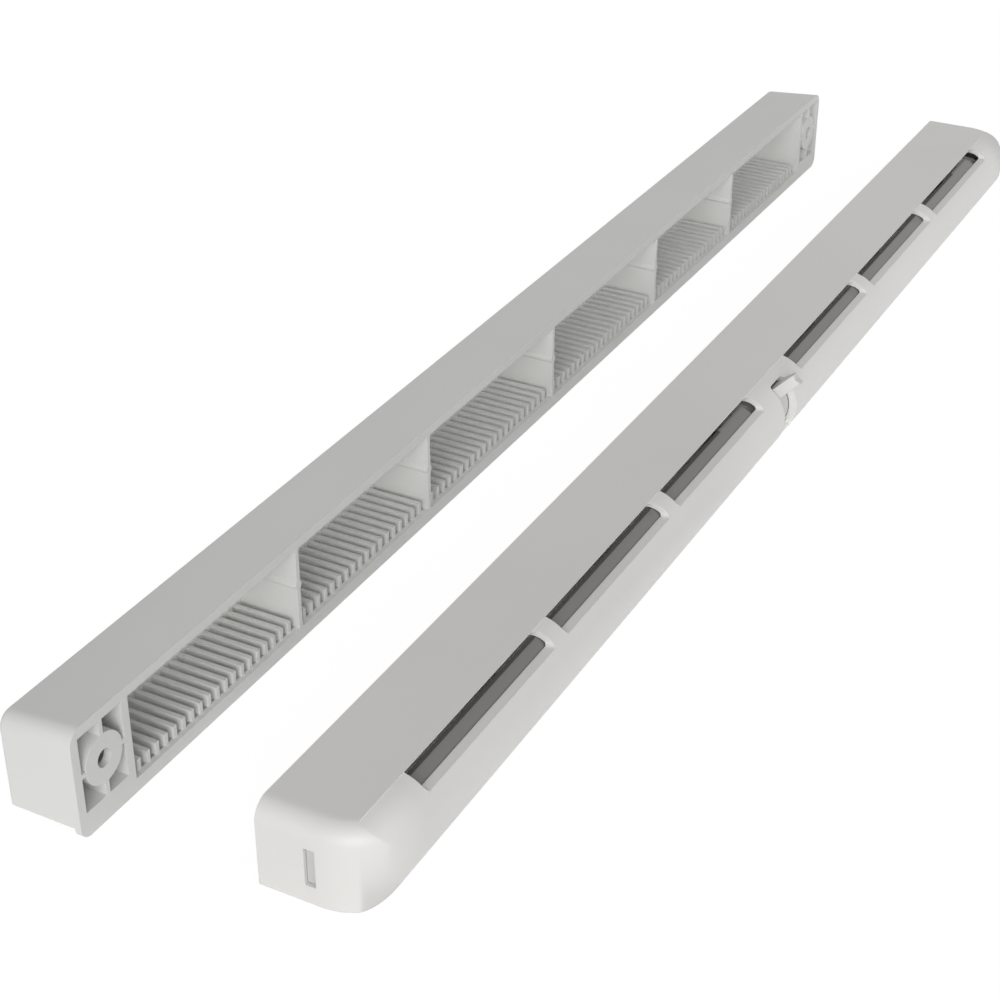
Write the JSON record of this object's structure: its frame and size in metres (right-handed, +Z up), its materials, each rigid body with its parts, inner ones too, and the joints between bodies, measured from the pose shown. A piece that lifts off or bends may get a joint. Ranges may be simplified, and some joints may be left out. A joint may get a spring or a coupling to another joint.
{
  "type": "window trickle vent with canopy",
  "caption": "Slotted window trickle vent with a half-round nose, a lever-turned rotary shutter, and a separate outdoor rain canopy with a fine fin grille.",
  "frame": {"origin": "centre of the vent's back mounting face", "axes": "+X along the vent, +Y outdoors out of the vent's back face, +Z up"},
  "size_m": [0.4111, 0.0835, 0.0257],
  "materials": {
    "white_cover": "satin moulded white plastic",
    "white_base": "plain moulded white plastic",
    "grey_shutter": "satin extruded white plastic",
    "white_lever": "smooth moulded white plastic",
    "white_canopy": "satin moulded white plastic",
    "natural_acetal": "natural acetal, slightly waxy",
    "grey_foam": "closed-cell foam strip",
    "black_rubber": "soft black rubber lip",
    "spring_steel": "bright strip spring steel"
  },
  "bodies": {
    "housing": {"vent_cover": "white_cover", "base_plate": "white_base", "frame_gasket": "grey_foam", "left_end_bearing": "natural_acetal", "right_end_bearing": "natural_acetal", "left_centre_bearing": "natural_acetal", "right_centre_bearing": "natural_acetal", "friction_spring": "spring_steel", "canopy_hood": "white_canopy", "left_screw_cap": "white_canopy", "right_screw_cap": "white_canopy"},
    "rotor": {"left_shutter": "grey_shutter", "right_shutter": "grey_shutter", "left_shutter_seal": "black_rubber", "right_shutter_seal": "black_rubber", "control_lever": "white_lever", "left_end_pivot": "natural_acetal", "right_end_pivot": "natural_acetal"}
  },
  "joints": [
    {"name": "shutter_turn", "type": "hinge", "parent": "housing", "child": "rotor", "pos_m": [0, -0.01731, 0], "axis": [1, 0, 0], "range_deg": [0, 60]}
  ]
}
